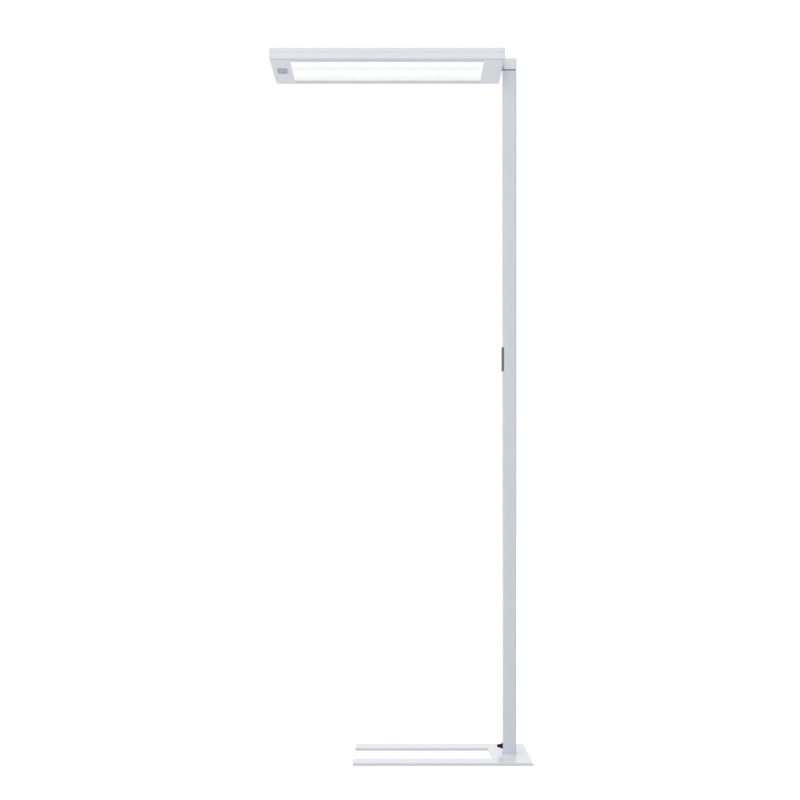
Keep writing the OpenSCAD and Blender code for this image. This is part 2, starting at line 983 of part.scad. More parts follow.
module neck_block() {
    neck_h = neck_top - neck_z;
    cavity_h = neck_h - neck_floor_t;
    color(WHITE)
        difference() {
            translate([0, 0, neck_z])
                round_block(post_w, post_w, neck_h, post_r);
            translate([0, 0, flange_z])
                round_block(neck_inner, neck_inner, cavity_h + over, neck_inner_r);
            translate([0, 0, neck_top - neck_cap_t])
                neck_lid(neck_cap_t + over);
            translate([0, 0, neck_z - over])
                cylinder(h = neck_floor_t + 2 * over, r = spigot_r);
            translate([stop_pin_r, 0, neck_z - over])
                cylinder(h = neck_floor_t + 2 * over, d = stop_pin_d);
            neck_joint_holes(post_face + neck_wall + over, neck_wall + 2 * over);
        }
}

module neck_lid(h) {
    lid_w = neck_inner + 2 * cap_lap;
    round_block(lid_w, lid_w, h, neck_inner_r + cap_lap);
}

module neck_cap() {
    color(WHITE)
        translate([0, 0, neck_top - neck_cap_t])
            neck_lid(neck_cap_t);
}

// Holes for the lead and the neck screws, cut from x towards -X over the given depth
module neck_joint_holes(x, depth) {
    translate([x, 0, lead_z])
        facing_left() {
            cylinder(h = depth, d = lead_hole_d);
            for (sy = [-1, 1])
                translate([0, sy * neck_screw_pitch / 2, 0])
                    cylinder(h = depth, d = neck_screw_d);
        }
}

module neck_spacer() {
    color(DARK)
        difference() {
            translate([head_x1, -spacer_w / 2, spacer_z])
                cube([head_gap, spacer_w, spacer_h]);
            neck_joint_holes(post_face + over, head_gap + 2 * over);
        }
}

module neck_screws() {
    head_x = post_face + neck_wall + neck_screw_head_t;
    screw_l = neck_wall + head_gap + shell_t + anchor_t;
    color(STEEL)
        for (sy = [-1, 1])
            translate([head_x, sy * neck_screw_pitch / 2, lead_z])
                facing_left()
                    difference() {
                        union() {
                            cylinder(h = neck_screw_head_t, d = 1.7 * neck_screw_d);
                            cylinder(h = neck_screw_head_t + screw_l, d = neck_screw_d);
                        }
                        translate([0, 0, -over])
                            cylinder(h = neck_screw_head_t / 2 + over, d = neck_screw_d * 0.7,
                                     $fn = 6);
                    }
}

module head_anchor() {
    color(STEEL)
        difference() {
            translate([end_wall_x - anchor_t, -anchor_w / 2, floor_z])
                cube([anchor_t, anchor_w, anchor_h]);
            neck_joint_holes(end_wall_x + over, anchor_t + 2 * over);
        }
}

// ---- Head shells ----

module head_lower_shell() {
    shell_h = seam_z - head_z;
    color(WHITE)
        difference() {
            union() {
                translate([head_cx, 0, head_z])
                    difference() {
                        round_block(head_l, head_w, shell_h, shell_r);
                        translate([0, 0, shell_t])
                            shell_hollow(shell_h);
                    }
                translate([head_cx, 0, head_z])
                    block(win_l + 2 * shell_t, win_w + 2 * shell_t, recess);
                at_bosses()
                    translate([0, 0, head_z + shell_t / 2])
                        cylinder(h = tray_z - head_z - shell_t / 2, d = boss_d);
            }
            translate([head_cx, 0, head_z - over])
                block(win_l, win_w, recess + 2 * over);
            at_bosses()
                translate([0, 0, total_h - shell_screw_l])
                    cylinder(h = head_h, d = shell_screw_d);
            translate([sensor_x, sensor_y, head_z - over])
                round_block(sensor_body_l + 2 * sensor_fit, sensor_body_w + 2 * sensor_fit,
                            shell_t + 2 * over, sensor_body_r + sensor_fit);
            neck_joint_holes(head_x1 + over, shell_t + 2 * over);
        }
}

// Space inside the walls of a shell
module shell_hollow(h) {
    round_block(head_l - 2 * shell_t, head_w - 2 * shell_t, h, shell_r - shell_t);
}

module head_upper_shell() {
    wall_h = seam_drop - seam_gap;
    color(WHITE)
        difference() {
            union() {
                translate([head_cx, 0, total_h - wall_h])
                    difference() {
                        round_block(head_l, head_w, wall_h, shell_r);
                        translate([0, 0, -shell_t])
                            shell_hollow(wall_h);
                    }
                tongues();
            }
            translate([head_cx, 0, top_sheet_z - over])
                block(uplight_l, uplight_w, shell_t + 2 * over);
            at_bosses()
                translate([0, 0, total_h])
                    sunk_hole(shell_screw_d, 2 * shell_t);
        }
}

// Strips inside the long walls and the free end that reach down behind the lower shell
module tongues() {
    side_l = head_l - 2 * tongue_clear;
    end_w = head_w - 2 * tongue_clear;
    strip_h = tongue_h + seam_gap + root_h;
    root_t = 1.5 * shell_t + tongue_gap;
    for (sy = [-1, 1]) {
        translate([head_cx, sy * (tongue_out - shell_t / 2), seam_z - tongue_h])
            block(side_l, shell_t, strip_h);
        translate([head_cx, sy * (tongue_out - shell_t + root_t / 2), seam_z + seam_gap])
            block(side_l, root_t, root_h);
    }
    translate([tongue_end + shell_t / 2, 0, seam_z - tongue_h])
        block(shell_t, end_w, strip_h);
    translate([tongue_end + shell_t - root_t / 2, 0, seam_z + seam_gap])
        block(root_t, end_w, root_h);
}

module shell_spacers() {
    color(STEEL)
        at_bosses()
            translate([0, 0, tray_top])
                difference() {
                    cylinder(h = top_sheet_z - tray_top, d = boss_d);
                    translate([0, 0, -over])
                        cylinder(h = head_h, d = shell_screw_d);
                    translate([0, 0, total_h - tray_top])
                        sunk_head(shell_screw_d);
                }
}

module shell_screws() {
    color(STEEL)
        at_bosses()
            translate([0, 0, total_h])
                sunk_screw(shell_screw_d, shell_screw_l);
}

// ---- Optics ----

// Diffuser panel on one side of the rib
module diffuser_panel(side) {
    color(OPAL)
        translate([head_cx, side * (rib_t + panel_half_w) / 2, diffuser_z])
            block(optic_l, panel_half_w, diffuser_t);
}

module diffuser_front() {
    diffuser_panel(-1);
}

module diffuser_rear() {
    diffuser_panel(1);
}

// Deep bar below the panels, with a web between them and a flange above
module centre_rib() {
    color(OPAL)
        translate([head_cx, 0, diffuser_z]) {
            translate([0, 0, -rib_drop])
                block(win_l - 2 * rib_end_gap, rib_w, rib_drop);
            translate([0, 0, -rib_t])
                block(win_l - 2 * rib_end_gap, rib_t, diffuser_t + 2 * rib_t);
            translate([0, 0, diffuser_t])
                block(optic_l - 2 * shell_t - 2 * rib_end_gap, rib_w, rib_t);
        }
}

// White tray upside down on the diffuser's edge
module down_reflector() {
    color(OPAL)
        translate([head_cx, 0, diffuser_top])
            difference() {
                block(optic_l, optic_w, mixing_h);
                translate([0, 0, -over])
                    block(optic_l - 2 * shell_t, optic_w - 2 * shell_t,
                          mixing_h - shell_t + over);
            }
}

// Board with its row of LEDs, lying on z = 0 with the LEDs up
module led_board(l) {
    block(l, led_board_w, led_board_t);
    for (i = [0 : led_count - 1])
        translate([(i + 0.5) * l / led_count - l / 2, 0, led_board_t / 2])
            block(led_w, led_w, led_board_t / 2 + led_h);
}

module down_led_boards() {
    color(OPAL)
        for (sy = [-1, 1])
            translate([head_cx, sy * led_row_y, tray_z - shell_t])
                mirror([0, 0, 1])
                    led_board(led_board_l);
}

module up_led_boards() {
    color(OPAL)
        for (sy = [-1, 1])
            translate([head_cx, sy * up_row_y, tray_top])
                led_board(up_board_l);
}

module gear_tray() {
    color(STEEL)
        difference() {
            translate([head_cx, 0, tray_z])
                round_block(tray_l, tray_w, tray_t, shell_r);
            translate([0, 0, tray_z - over])
                at_bosses()
                    cylinder(h = tray_t + 2 * over, d = shell_screw_d);
        }
}

module uplight_cover() {
    color(CLEAR)
        translate([head_cx, 0, top_sheet_z - uplight_t])
            block(uplight_l + 2 * uplight_lap, uplight_w + 2 * uplight_lap, uplight_t);
}

// ---- Gear ----

module led_driver() {
    color(GREY)
        translate([gear_x, gear_off + driver_l / 2, tray_z - driver_h])
            block(gear_w, driver_l, driver_h);
}

module control_module() {
    color(GREY)
        translate([gear_x, -gear_off - module_l / 2, tray_z - module_h])
            block(gear_w, module_l, module_h);
}

module head_terminal() {
    screw_d = 4;
    color(OPAL)
        difference() {
            translate([head_terminal_x, 0, tray_z - head_terminal_h])
                block(head_terminal_l, head_terminal_w, head_terminal_h);
            for (i = [-1 : 1])
                translate([head_terminal_x, i * head_terminal_w / 3,
                           tray_z - head_terminal_h - over])
                    cylinder(h = head_terminal_h / 4 + over, d = screw_d);
        }
}

module driver_lead() {
    color(BLACK)
        translate([head_terminal_x, head_terminal_w / 2, tray_z - head_terminal_h / 2])
            rotate([-90, 0, 0])
                cylinder(h = gear_off - head_terminal_w / 2, d = wire_d, $fn = 32);
}

// Up through the spigot, round one bend and along -X into the terminal
module head_lead() {
    bend_z = lead_z - lead_bend;
    color(GREY) {
        translate([0, 0, post_top])
            cylinder(h = bend_z - post_top, d = lead_d, $fn = 32);
        translate([-lead_bend, 0, bend_z])
            rotate([90, 0, 0])
                rotate_extrude(angle = 90, $fn = 64)
                    translate([lead_bend, 0])
                        circle(d = lead_d, $fn = 32);
        translate([-lead_bend, 0, lead_z])
            facing_left()
                cylinder(h = -lead_bend - head_lead_end, d = lead_d, $fn = 32);
    }
}

// ---- Sensor ----

module sensor_housing() {
    color(GREY)
        difference() {
            union() {
                translate([sensor_x, sensor_y, sensor_z0])
                    round_block(sensor_l, sensor_w, sensor_t, sensor_r);
                translate([sensor_x, sensor_y, sensor_z0])
                    round_block(sensor_body_l, sensor_body_w, sensor_top - sensor_z0,
                                sensor_body_r);
            }
            translate([sensor_x, sensor_y, head_z + lens_flange])
                round_block(sensor_body_l - 2 * sensor_wall, sensor_body_w - 2 * sensor_wall,
                            head_h, sensor_body_r - sensor_wall);
            translate([lens_x, sensor_y, sensor_z0 - over])
                cylinder(h = sensor_t + lens_flange + 2 * over, d = lens_d);
            translate([eye_x, sensor_y, sensor_z0 - over])
                block(eye_l, eye_w, sensor_t + lens_flange + 2 * over);
        }
}

// Shallow dome below the bezel on a round foot in the bezel's hole
module sensor_lens() {
    color(CLEAR)
        union() {
            translate([lens_x, sensor_y, sensor_z0])
                cylinder(h = sensor_t + lens_flange, d = lens_d);
            intersection() {
                translate([lens_x, sensor_y, sensor_z0 + lens_ball_r - lens_h])
                    sphere(r = lens_ball_r);
                translate([lens_x, sensor_y, sensor_z0 - lens_h])
                    cylinder(h = lens_h, d = lens_d);
            }
        }
}

module light_eye() {
    eye_sink = 0.4;
    color(BLACK)
        translate([eye_x, sensor_y, sensor_z0 + eye_sink])
            block(eye_l, eye_w, sensor_t + lens_flange - eye_sink);
}

module sensor_board() {
    color(GREEN)
        translate([sensor_x, sensor_y, sensor_top])
            round_block(sensor_body_l, sensor_body_w, board_t, sensor_body_r);
}

module sensor_lead() {
    color(BLACK)
        lead(sensor_route, wire_d);
}

base_plate();
centre_pad();
floor_pads();
foot_insert();
base_screws();
post_tube();
cable_gland();
gland_nut();
terminal_bracket();
mains_terminal();
post_lead();
lead_splice();
control_housing();
control_board();
tact_switches();
key_up();
key_power();
key_down();
control_lead();
lead_connector();
swivel_bush();
bush_screws();
bearing_ring();
neck_block();
neck_cap();
swivel_spigot();
wave_washer();
spigot_nut();
stop_pin();
neck_spacer();
neck_screws();
head_anchor();
head_lower_shell();
head_upper_shell();
shell_spacers();
shell_screws();
diffuser_front();
diffuser_rear();
centre_rib();
down_reflector();
down_led_boards();
gear_tray();
up_led_boards();
uplight_cover();
led_driver();
control_module();
head_terminal();
driver_lead();
head_lead();
sensor_housing();
sensor_lens();
light_eye();
sensor_board();
sensor_lead();
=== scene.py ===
"""Looks of the office floor lamp: finishes, rounded edges, small parts, light and camera."""
import json
import math

import bmesh
import bpy
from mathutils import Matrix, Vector

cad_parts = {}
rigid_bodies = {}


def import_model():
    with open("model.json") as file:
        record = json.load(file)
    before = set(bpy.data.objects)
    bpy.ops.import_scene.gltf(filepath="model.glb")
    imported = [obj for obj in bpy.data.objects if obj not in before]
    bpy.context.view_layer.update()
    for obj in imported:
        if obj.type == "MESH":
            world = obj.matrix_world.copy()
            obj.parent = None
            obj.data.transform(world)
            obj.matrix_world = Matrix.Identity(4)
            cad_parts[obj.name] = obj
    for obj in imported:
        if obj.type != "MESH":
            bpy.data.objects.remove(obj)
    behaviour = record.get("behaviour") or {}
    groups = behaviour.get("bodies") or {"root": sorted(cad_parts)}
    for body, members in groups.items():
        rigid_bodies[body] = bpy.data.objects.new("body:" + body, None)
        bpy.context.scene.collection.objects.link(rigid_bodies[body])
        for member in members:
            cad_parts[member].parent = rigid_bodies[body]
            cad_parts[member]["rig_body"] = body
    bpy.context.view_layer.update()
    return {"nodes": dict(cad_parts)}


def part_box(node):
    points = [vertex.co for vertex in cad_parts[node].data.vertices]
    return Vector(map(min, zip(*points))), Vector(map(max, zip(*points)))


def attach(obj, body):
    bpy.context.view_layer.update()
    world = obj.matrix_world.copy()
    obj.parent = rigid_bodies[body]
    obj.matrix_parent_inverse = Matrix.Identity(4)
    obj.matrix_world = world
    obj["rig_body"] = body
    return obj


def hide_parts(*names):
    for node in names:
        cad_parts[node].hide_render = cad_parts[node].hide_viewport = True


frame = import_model()

MM = 0.001

# Colours are linear, as the surfaces' own reflectance
WHITE_BASE = (0.74, 0.76, 0.80)
WHITE_POST = (0.695, 0.73, 0.765)
WHITE_HEAD = (0.79, 0.825, 0.87)
# Rail grey: partly the rails' own two-tone paint, partly painted shade for the dark lines along
# the head's underside
RAIL_GREY_AND_SHADE = (0.655, 0.675, 0.693)
DARK_GREY = (0.13, 0.137, 0.145)
KEY_GREY = (0.140, 0.146, 0.155)
RING_GREY = (0.30, 0.31, 0.33)
MARK_WHITE = (0.62, 0.64, 0.66)
SENSOR_GREY = (0.40, 0.43, 0.465)
LENS_RIM = (0.60, 0.63, 0.67)
LENS_DARK = (0.22, 0.235, 0.25)
EYE_GREY = (0.20, 0.215, 0.23)
BLACK = (0.012, 0.013, 0.015)
PAD_BLACK = (0.022, 0.022, 0.023)
GLAND_BLACK = (0.007, 0.008, 0.009)
STEEL = (0.56, 0.57, 0.59)
CABLE_GREY = (0.20, 0.21, 0.22)
BOARD_GREEN = (0.03, 0.16, 0.07)
TERMINAL_WHITE = (0.74, 0.74, 0.71)
SHEET_GREY = (0.38, 0.385, 0.385)
LIGHT_WHITE = (1.0, 1.0, 0.995)


# ---- Material helpers ----

class Shader:
    """Node tree of one material, with short ways to add and link nodes."""

    def __init__(self, name):
        self.material = bpy.data.materials.new(name)
        self.material.use_nodes = True
        self.tree = self.material.node_tree
        self.surface = self.tree.nodes["Principled BSDF"]

    def add(self, kind, **values):
        node = self.tree.nodes.new(kind)
        for key, value in values.items():
            setattr(node, key, value)
        return node

    def link(self, source, target):
        self.tree.links.new(source, target)

    def set(self, **values):
        """Constants on the surface's own sockets; underscores stand for spaces."""
        for key, value in values.items():
            socket = self.surface.inputs[key.replace("_", " ")]
            socket.default_value = (*value, 1.0) if isinstance(value, tuple) else value

    def place(self, scale=(1, 1, 1), turn=(0, 0, 0)):
        """Coordinates in metres, fixed to the piece, scaled and turned."""
        coordinates = self.add("ShaderNodeTexCoord")
        mapping = self.add("ShaderNodeMapping")
        mapping.inputs["Scale"].default_value = scale
        mapping.inputs["Rotation"].default_value = turn
        self.link(coordinates.outputs["Object"], mapping.inputs["Vector"])
        return mapping.outputs["Vector"]

    def noise(self, size, detail=2.0, at=None):
        """Noise whose features are about size metres wide."""
        node = self.add("ShaderNodeTexNoise")
        node.inputs["Scale"].default_value = 1 / size
        node.inputs["Detail"].default_value = detail
        self.link(at or self.place(), node.inputs["Vector"])
        return node.outputs["Fac"]

    def ramp(self, value, low, high, start=0.35, end=0.65):
        """value from start to end becomes a number from low to high."""
        node = self.add("ShaderNodeMapRange")
        node.inputs["From Min"].default_value = start
        node.inputs["From Max"].default_value = end
        node.inputs["To Min"].default_value = low
        node.inputs["To Max"].default_value = high
        self.link(value, node.inputs["Value"])
        return node.outputs["Result"]

    def mix(self, value, colour_a, colour_b):
        """Colour that goes from a to b as value goes from 0 to 1."""
        node = self.add("ShaderNodeMix", data_type="RGBA")
        node.inputs["A"].default_value = (*colour_a, 1)
        node.inputs["B"].default_value = (*colour_b, 1)
        self.link(value, node.inputs["Factor"])
        return node.outputs["Result"]

    def tint(self, value, colour, spread):
        """The surface's colour varies with value by plus or minus spread of itself."""
        darker = [c * (1 - spread) for c in colour]
        lighter = [min(c * (1 + spread), 1) for c in colour]
        self.link(self.mix(value, darker, lighter), self.surface.inputs["Base Color"])

    def gloss(self, value, smooth, rough):
        """The surface's roughness varies with value from smooth to rough."""
        self.link(self.ramp(value, smooth, rough), self.surface.inputs["Roughness"])

    def bump(self, height, depth):
        node = self.add("ShaderNodeBump")
        node.inputs["Distance"].default_value = depth
        node.inputs["Strength"].default_value = 1.0
        self.link(height, node.inputs["Height"])
        self.link(node.outputs["Normal"], self.surface.inputs["Normal"])


POWDER_PEEL = 0.03 * MM
LACQUER_PEEL = 0.003 * MM
FINE_GRAIN = 0.01 * MM


def painted(name, colour, roughness, peel):
    """Powder coat or lacquer: slight clouding, orange peel of depth peel, uneven gloss."""
    cloud = 180 * MM
    gloss_patch = 12 * MM
    peel_size = 1.6 * MM
    s = Shader(name)
    s.set(IOR=1.5)
    s.tint(s.ramp(s.noise(cloud), 0, 1), colour, spread=0.012)
    s.gloss(s.noise(gloss_patch), roughness - 0.04, roughness + 0.05)
    s.bump(s.noise(peel_size, detail=1.0), peel)
    return s.material


def moulded(name, colour, roughness, grain=0.03 * MM):
    """Moulded plastic with a fine spark-eroded grain."""
    cloud = 30 * MM
    gloss_patch = 6 * MM
    grain_size = 0.35 * MM
    s = Shader(name)
    s.set(IOR=1.46)
    s.tint(s.ramp(s.noise(cloud), 0, 1), colour, spread=0.05)
    s.gloss(s.noise(gloss_patch), roughness - 0.05, roughness + 0.05)
    s.bump(s.noise(grain_size, detail=3.0), grain)
    return s.material


def brushed(name, colour, roughness):
    """Turned or rolled steel with fine lines across Z."""
    line_size = 20 * MM
    line_depth = 0.01 * MM
    squeeze = (3, 3, 60)
    s = Shader(name)
    s.set(Metallic=1.0)
    lines = s.noise(line_size, detail=4.0, at=s.place(scale=squeeze))
    s.tint(s.ramp(lines, 0, 1), colour, spread=0.08)
    s.gloss(lines, roughness - 0.06, roughness + 0.08)
    s.bump(lines, line_depth)
    return s.material


def rubber(name, colour, shine):
    """Matt rubber; shine is 0.5 for a plain surface and less for a dusty one."""
    cloud = 10 * MM
    gloss_patch = 4 * MM
    grain_size = 0.5 * MM
    grain_depth = 0.05 * MM
    s = Shader(name)
    s.set(IOR=1.5, Specular_IOR_Level=shine)
    s.tint(s.ramp(s.noise(cloud), 0, 1), colour, spread=0.12)
    s.gloss(s.noise(gloss_patch), 0.55, 0.72)
    s.bump(s.noise(grain_size, detail=4.0), grain_depth)
    return s.material


def ringed(name, apex, reach, centre_colour, rim_colour):
    """Smooth dome with one colour within reach of its apex and another beyond."""
    gloss_patch = 2 * MM
    blur = 0.2 * MM
    s = Shader(name)
    s.set(IOR=1.49)
    s.gloss(s.noise(gloss_patch), 0.16, 0.24)
    away = s.add("ShaderNodeVectorMath", operation="DISTANCE")
    away.inputs[1].default_value = apex
    s.link(s.place(), away.inputs[0])
    outside = s.ramp(away.outputs["Value"], 0, 1, reach - blur, reach + blur)
    s.link(s.mix(outside, centre_colour, rim_colour), s.surface.inputs["Base Color"])
    return s.material


def prism_height(s, pitch):
    """Height of a field of small pyramids, pitch metres apart."""
    wave_period = math.pi / 10  # metres between the bands of a wave texture of scale 1
    waves = []
    for turn in (0, math.pi / 2):
        wave = s.add("ShaderNodeTexWave", wave_type="BANDS", bands_direction="X",
                     wave_profile="TRI")
        wave.inputs["Scale"].default_value = wave_period / pitch
        s.link(s.place(turn=(0, 0, turn)), wave.inputs["Vector"])
        waves.append(wave.outputs["Fac"])
    low = s.add("ShaderNodeMath", operation="MINIMUM")
    s.link(waves[0], low.inputs[0])
    s.link(waves[1], low.inputs[1])
    return low.outputs["Value"]


def glowing(name, glow, pitch, prism_depth):
    """Lit diffuser: a prismatic sheet that glows nearly evenly. The centre rib and the window
    lining use it too, and on them the glow is painted light.
    """
    groove_light = 0.93
    s = Shader(name)
    s.set(Base_Color=SHEET_GREY, Roughness=0.28, IOR=1.49, Emission_Strength=glow)
    prisms = prism_height(s, pitch)
    groove_colour = [c * groove_light for c in LIGHT_WHITE]
    s.link(s.mix(prisms, groove_colour, LIGHT_WHITE), s.surface.inputs["Emission Color"])
    s.bump(prisms, prism_depth)
    return s.material


def circuit(name):
    """Circuit board: green lacquer over lighter and darker copper areas."""
    copper_size = 4 * MM
    s = Shader(name)
    s.set(IOR=1.5, Roughness=0.4)
    copper = s.ramp(s.noise(copper_size, detail=3.0), 0, 1, start=0.45, end=0.55)
    s.tint(copper, BOARD_GREEN, spread=0.35)
    return s.material


PAINT_BASE = painted("base_lacquer", WHITE_BASE, 0.20, LACQUER_PEEL)
PAINT_POST = painted("post_powder_coat", WHITE_POST, 0.42, POWDER_PEEL)
PAINT_HEAD = painted("head_powder_coat", WHITE_HEAD, 0.40, POWDER_PEEL)
# Greyer rail paint, partly painted shade along the underside's edges
PAINT_RAIL_AND_SHADE = painted("rail_coat_and_painted_shade", RAIL_GREY_AND_SHADE, 0.40, POWDER_PEEL)
PLASTIC_DARK = moulded("strip_plastic", DARK_GREY, 0.45)
PLASTIC_KEY = moulded("key_plastic", KEY_GREY, 0.40)
PLASTIC_RING = moulded("ring_plastic", RING_GREY, 0.45)
PLASTIC_MARK = moulded("key_mark", MARK_WHITE, 0.45, FINE_GRAIN)
PLASTIC_SENSOR = moulded("sensor_plastic", SENSOR_GREY, 0.42)
PLASTIC_EYE = moulded("eye_plastic", EYE_GREY, 0.3, FINE_GRAIN)
PLASTIC_BLACK = moulded("black_plastic", BLACK, 0.38)
PLASTIC_GEAR = moulded("gear_plastic", CABLE_GREY, 0.5)
PLASTIC_WHITE = moulded("terminal_plastic", TERMINAL_WHITE, 0.4)
RUBBER_PAD = rubber("pad_rubber", PAD_BLACK, shine=0.5)
RUBBER_GLAND = rubber("gland_rubber", GLAND_BLACK, shine=0.2)
METAL = brushed("steel", STEEL, 0.32)
BOARD = circuit("circuit_board")
DIFFUSER = glowing("diffuser_sheet", glow=0.595, pitch=4 * MM, prism_depth=0.3 * MM)
UPLIGHT = glowing("uplight_sheet", glow=0.62, pitch=4 * MM, prism_depth=0.2 * MM)
# The white centre rib is no lamp: its glow is painted light, standing in for the diffuser's
# light falling on it
RIB_PAINTED_LIGHT = glowing("rib_painted_light", glow=0.63, pitch=40 * MM, prism_depth=0.01 * MM)
# The window lining is painted wall, no lamp: its glow is painted light from the diffuser
LINING_PAINTED_LIGHT = glowing("lining_painted_light", glow=0.61, pitch=40 * MM, prism_depth=0.01 * MM)


# ---- Mesh helpers ----

WELD = 0.002 * MM
FLUSH = 0.1 * MM  # a point this near a flat face still counts as on it
FLAT_ANGLE = math.radians(0.4)
EDGE_ANGLE = math.radians(28)
SHARP_ANGLE = math.radians(34)
TURN_STEPS = 64


def cad_surface(node):
    """The CAD node's surface as a bmesh, welded, with its flat faces joined."""
    source = frame["nodes"][node].data
    plain = bpy.data.meshes.new("welding")
    corners = [vertex.co for vertex in source.vertices]
    plain.from_pydata(corners, [], [tuple(polygon.vertices) for polygon in source.polygons])
    bm = bmesh.new()
    bm.from_mesh(plain)
    bpy.data.meshes.remove(plain)
    bmesh.ops.remove_doubles(bm, verts=bm.verts, dist=WELD)
    bmesh.ops.dissolve_limit(bm, angle_limit=FLAT_ANGLE, verts=bm.verts, edges=bm.edges)
    return bm


def round_edges(bm, width, segments, where):
    """Rounds the sharp edges whose middle passes where(), or all of them where it is None."""
    picked = []
    for edge in bm.edges:
        if len(edge.link_faces) != 2 or edge.calc_face_angle(0) < EDGE_ANGLE:
            continue
        middle = (edge.verts[0].co + edge.verts[1].co) / 2
        if where is None or where(middle):
            picked.append(edge)
    if picked:
        bmesh.ops.bevel(bm, geom=picked, offset=width, segments=segments, profile=0.5,
                        affect="EDGES", clamp_overlap=True, miter_outer="ARC")


def piece(bm, name, body, material, replaces=()):
    """Turns a bmesh into a finished piece that rides on a body."""
    mesh = bpy.data.meshes.new(name)
    bmesh.ops.recalc_face_normals(bm, faces=bm.faces)
    for face in bm.faces:
        face.smooth = True
    for edge in bm.edges:
        edge.smooth = len(edge.link_faces) == 2 and edge.calc_face_angle(0) < SHARP_ANGLE
    bm.to_mesh(mesh)
    bm.free()
    mesh.materials.append(material)
    obj = bpy.data.objects.new(name, mesh)
    bpy.context.scene.collection.objects.link(obj)
    normals = obj.modifiers.new("even_normals", "WEIGHTED_NORMAL")
    normals.keep_sharp = True
    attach(obj, body)
    if replaces:
        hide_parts(*replaces)
    return obj


def body_of(node):
    return frame["nodes"][node]["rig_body"]


def dressed(node, material, *rounds):
    """The CAD node with rounded edges; each round is (width, segments, where)."""
    bm = cad_surface(node)
    for width, segments, where in rounds:
        round_edges(bm, width, segments, where)
    return piece(bm, node + "_finished", body_of(node), material, (node,))


def coat(node, material):
    """A CAD node that stays as it is gets its finish."""
    data = frame["nodes"][node].data
    data.materials.clear()
    data.materials.append(material)


def join_rings(bm, a, b):
    """A band of four-sided faces between two closed rings of corners."""
    for i in range(len(a)):
        j = (i + 1) % len(a)
        bm.faces.new((a[i], a[j], b[j], b[i]))


def closed_tube(bm, rings):
    """Joins each ring to the next and the last one to the first."""
    for a, b in zip(rings, rings[1:] + rings[:1]):
        join_rings(bm, a, b)


def lathe(profile, centre):
    """Closed profile of (radius, distance) turned about the line from centre along -X."""
    bm = bmesh.new()
    rings = []
    for radius, distance in profile:
        ring = []
        for i in range(TURN_STEPS):
            angle = 2 * math.pi * i / TURN_STEPS
            spot = Vector((-distance, radius * math.cos(angle), radius * math.sin(angle)))
            ring.append(bm.verts.new(centre + spot))
        rings.append(ring)
    closed_tube(bm, rings)
    return bm


def plate(outline, centre, height):
    """Outline of (y, z) corners about centre, as a plate that stands out along -X."""
    bm = bmesh.new()
    front = [bm.verts.new(centre + Vector((-height, y, z))) for y, z in outline]
    back = [bm.verts.new(centre + Vector((0, y, z))) for y, z in outline]
    bm.faces.new(front)
    bm.faces.new(back[::-1])
    join_rings(bm, back, front)
    return bm


# ---- The lamp's pieces ----

def base():
    plate_edge = 1.2 * MM
    pad_edge = 0.3 * MM
    screw_reach = 20 * MM

    def clear_of_screws(p):
        return max(abs(p.x), abs(p.y)) > screw_reach

    dressed("base_plate", PAINT_BASE, (plate_edge, 4, clear_of_screws))
    dressed("centre_pad", RUBBER_PAD, (pad_edge, 2, None))
    dressed("floor_pads", RUBBER_PAD, (pad_edge, 2, None))


def post():
    screw_edge = 0.15 * MM
    ring_edge = 0.3 * MM
    dressed("post_tube", PAINT_POST)
    dressed("bush_screws", METAL, (screw_edge, 1, None))
    dressed("bearing_ring", PLASTIC_RING, (ring_edge, 2, None))


def gland():
    """Bend relief: a collar, a grooved cone and the lead's bore, turned about the X axis."""
    low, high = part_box("cable_gland")
    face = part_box("post_tube")[0].x
    length = face - low.x
    centre = Vector((face, 0, (low.z + high.z) / 2))
    bore_r = 3.0 * MM
    mouth = 0.3 * MM
    collar_r = (high.z - low.z) / 2
    collar_t = 2.0 * MM
    collar_step = 1.0 * MM
    chamfer = 0.2 * MM
    round_r = 0.5 * MM
    round_middle = 0.15 * MM
    foot_r = collar_r - collar_step
    tip_r = 3.9 * MM
    groove_count = 4
    groove_depth = 0.9 * MM
    groove_share = 0.44  # a groove's mouth, as a share of the grooves' pitch
    floor_share = 0.8  # a groove's floor, as a share of its mouth

    def cone_r(distance):
        return foot_r + (tip_r - foot_r) * (distance - collar_t) / (length - collar_t)

    profile = [(bore_r, 0.0), (collar_r - chamfer, 0.0), (collar_r, chamfer),
               (collar_r, collar_t - round_r),
               (collar_r - round_middle, collar_t - round_middle),
               (collar_r - round_r, collar_t), (cone_r(collar_t), collar_t)]
    pitch = (length - collar_t) / (groove_count + 1)
    half_mouth = groove_share * pitch / 2
    half_floor = floor_share * half_mouth
    for i in range(groove_count):
        middle = collar_t + (i + 1) * pitch
        for offset, sink in ((-half_mouth, 0), (-half_floor, groove_depth),
                             (half_floor, groove_depth), (half_mouth, 0)):
            profile.append((cone_r(middle + offset) - sink, middle + offset))
    profile += [(tip_r, length - round_r), (tip_r - round_middle, length - round_middle),
                (tip_r - round_r, length), (bore_r + mouth, length), (bore_r, length - mouth)]
    piece(lathe(profile, centre), "cable_gland_finished", "stand", RUBBER_GLAND,
          ("cable_gland",))


def controls():
    """Key strip and keys; the edges of the keys' sunk marks stay sharp."""
    strip_edge = 0.5 * MM
    strip_front = 0.2 * MM
    key_edge = 0.3 * MM
    key_front = 0.05 * MM
    mark_reach = 4 * MM
    strip_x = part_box("control_housing")[0].x
    dressed("control_housing", PLASTIC_DARK,
            (strip_edge, 3, lambda p: p.x < strip_x + strip_front))
    for node in ("key_up", "key_power", "key_down"):
        low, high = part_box(node)
        middle_z = (low.z + high.z) / 2

        def rim(p):
            in_mark = math.hypot(p.y, p.z - middle_z) < mark_reach
            return p.x < low.x + key_front and not in_mark

        dressed(node, PLASTIC_KEY, (key_edge, 3, rim))
    key_marks()


